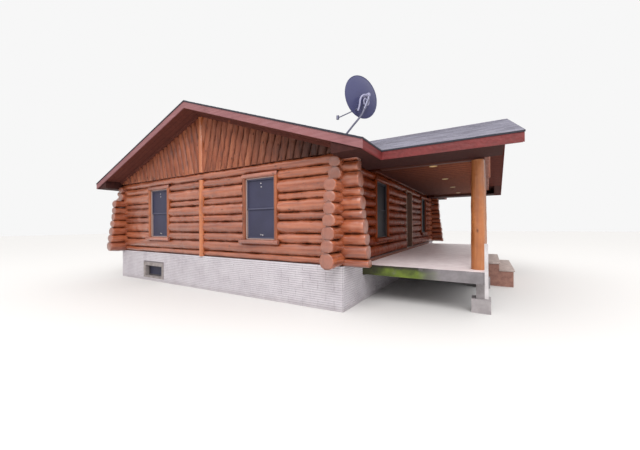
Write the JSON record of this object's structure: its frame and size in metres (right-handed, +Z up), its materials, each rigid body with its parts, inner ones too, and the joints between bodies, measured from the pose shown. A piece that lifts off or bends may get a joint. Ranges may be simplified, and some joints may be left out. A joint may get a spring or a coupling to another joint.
{
  "type": "log cabin with side porch",
  "caption": "Log cabin on a painted block foundation, with a cross-gabled side porch, an entrance door that opens and a dish on the roof.",
  "frame": {"origin": "middle of the whole building's footprint, at the ground", "axes": "+X from the plain long side towards the porch side along the front gable, +Y from the front gable to the back, +Z up"},
  "size_m": [12.925, 12.106, 5.227],
  "materials": {
    "wall_logs": "varnished log",
    "post_logs": "varnished log",
    "block_paint": "painted concrete block",
    "concrete": "weathered concrete",
    "step_masonry": "rough masonry",
    "step_stone": "grey stone tread",
    "floor_boards": "satin boards",
    "glass": "dark window glass",
    "window_vinyl": "satin frame",
    "shingles": "mineral granules",
    "fascia_stain": "stained board",
    "soffit_stain": "dark stained board",
    "ceiling_boards": "varnished board",
    "door_paint": "satin paint",
    "door_trim": "painted wood",
    "light_glass": "frosted diffuser",
    "dish_paint": "satin dark paint",
    "galvanised": "galvanised",
    "white_board": "matt"
  },
  "bodies": {
    "cabin": {"back_gable_logs": "post_logs", "back_plate_log": "wall_logs", "back_posts": "post_logs", "back_rake_fascia": "fascia_stain", "back_rake_soffit": "soffit_stain", "back_wall": "wall_logs", "basement_window_pane": "glass", "basement_window_sash": "window_vinyl", "basement_window_surround": "block_paint", "cabin_floor": "floor_boards", "corner_board": "white_board", "dish_feed_arm": "galvanised", "dish_mast": "galvanised", "dish_reflector": "dish_paint", "door_frame": "door_trim", "eave_fascias": "fascia_stain", "eave_soffits": "soffit_stain", "foundation_back": "block_paint", "foundation_front": "block_paint", "foundation_left": "block_paint", "foundation_right": "block_paint", "front_centre_post": "post_logs", "front_gable_logs": "post_logs", "front_king_post": "post_logs", "front_plate_log": "wall_logs", "front_rake_fascia": "fascia_stain", "front_rake_soffit": "soffit_stain", "front_wall_left": "wall_logs", "front_wall_right": "wall_logs", "left_wall": "wall_logs", "main_roof_left": "shingles", "main_roof_right": "shingles", "porch_ceiling": "ceiling_boards", "porch_end_beams": "ceiling_boards", "porch_gable_logs": "post_logs", "porch_king_post": "post_logs", "porch_lights": "light_glass", "porch_outer_beam": "wall_logs", "porch_piers": "concrete", "porch_posts": "post_logs", "porch_rake_fascia": "fascia_stain", "porch_rake_soffit": "soffit_stain", "porch_roof_far": "shingles", "porch_roof_near": "shingles", "porch_slab": "concrete", "right_wall_far": "wall_logs", "right_wall_near": "wall_logs", "right_wall_over_door": "wall_logs", "step_bodies": "step_masonry", "step_treads": "step_stone", "window_frames": "window_vinyl", "window_log_trim": "post_logs", "window_panes": "glass"},
    "front_door": {"front_door": "door_paint"}
  },
  "joints": [
    {"name": "front_door_hinge", "type": "hinge", "parent": "cabin", "child": "front_door", "pos_m": [2.9544, 0.685, 2], "axis": [0, 0, -1], "range_deg": [0, 100]}
  ]
}
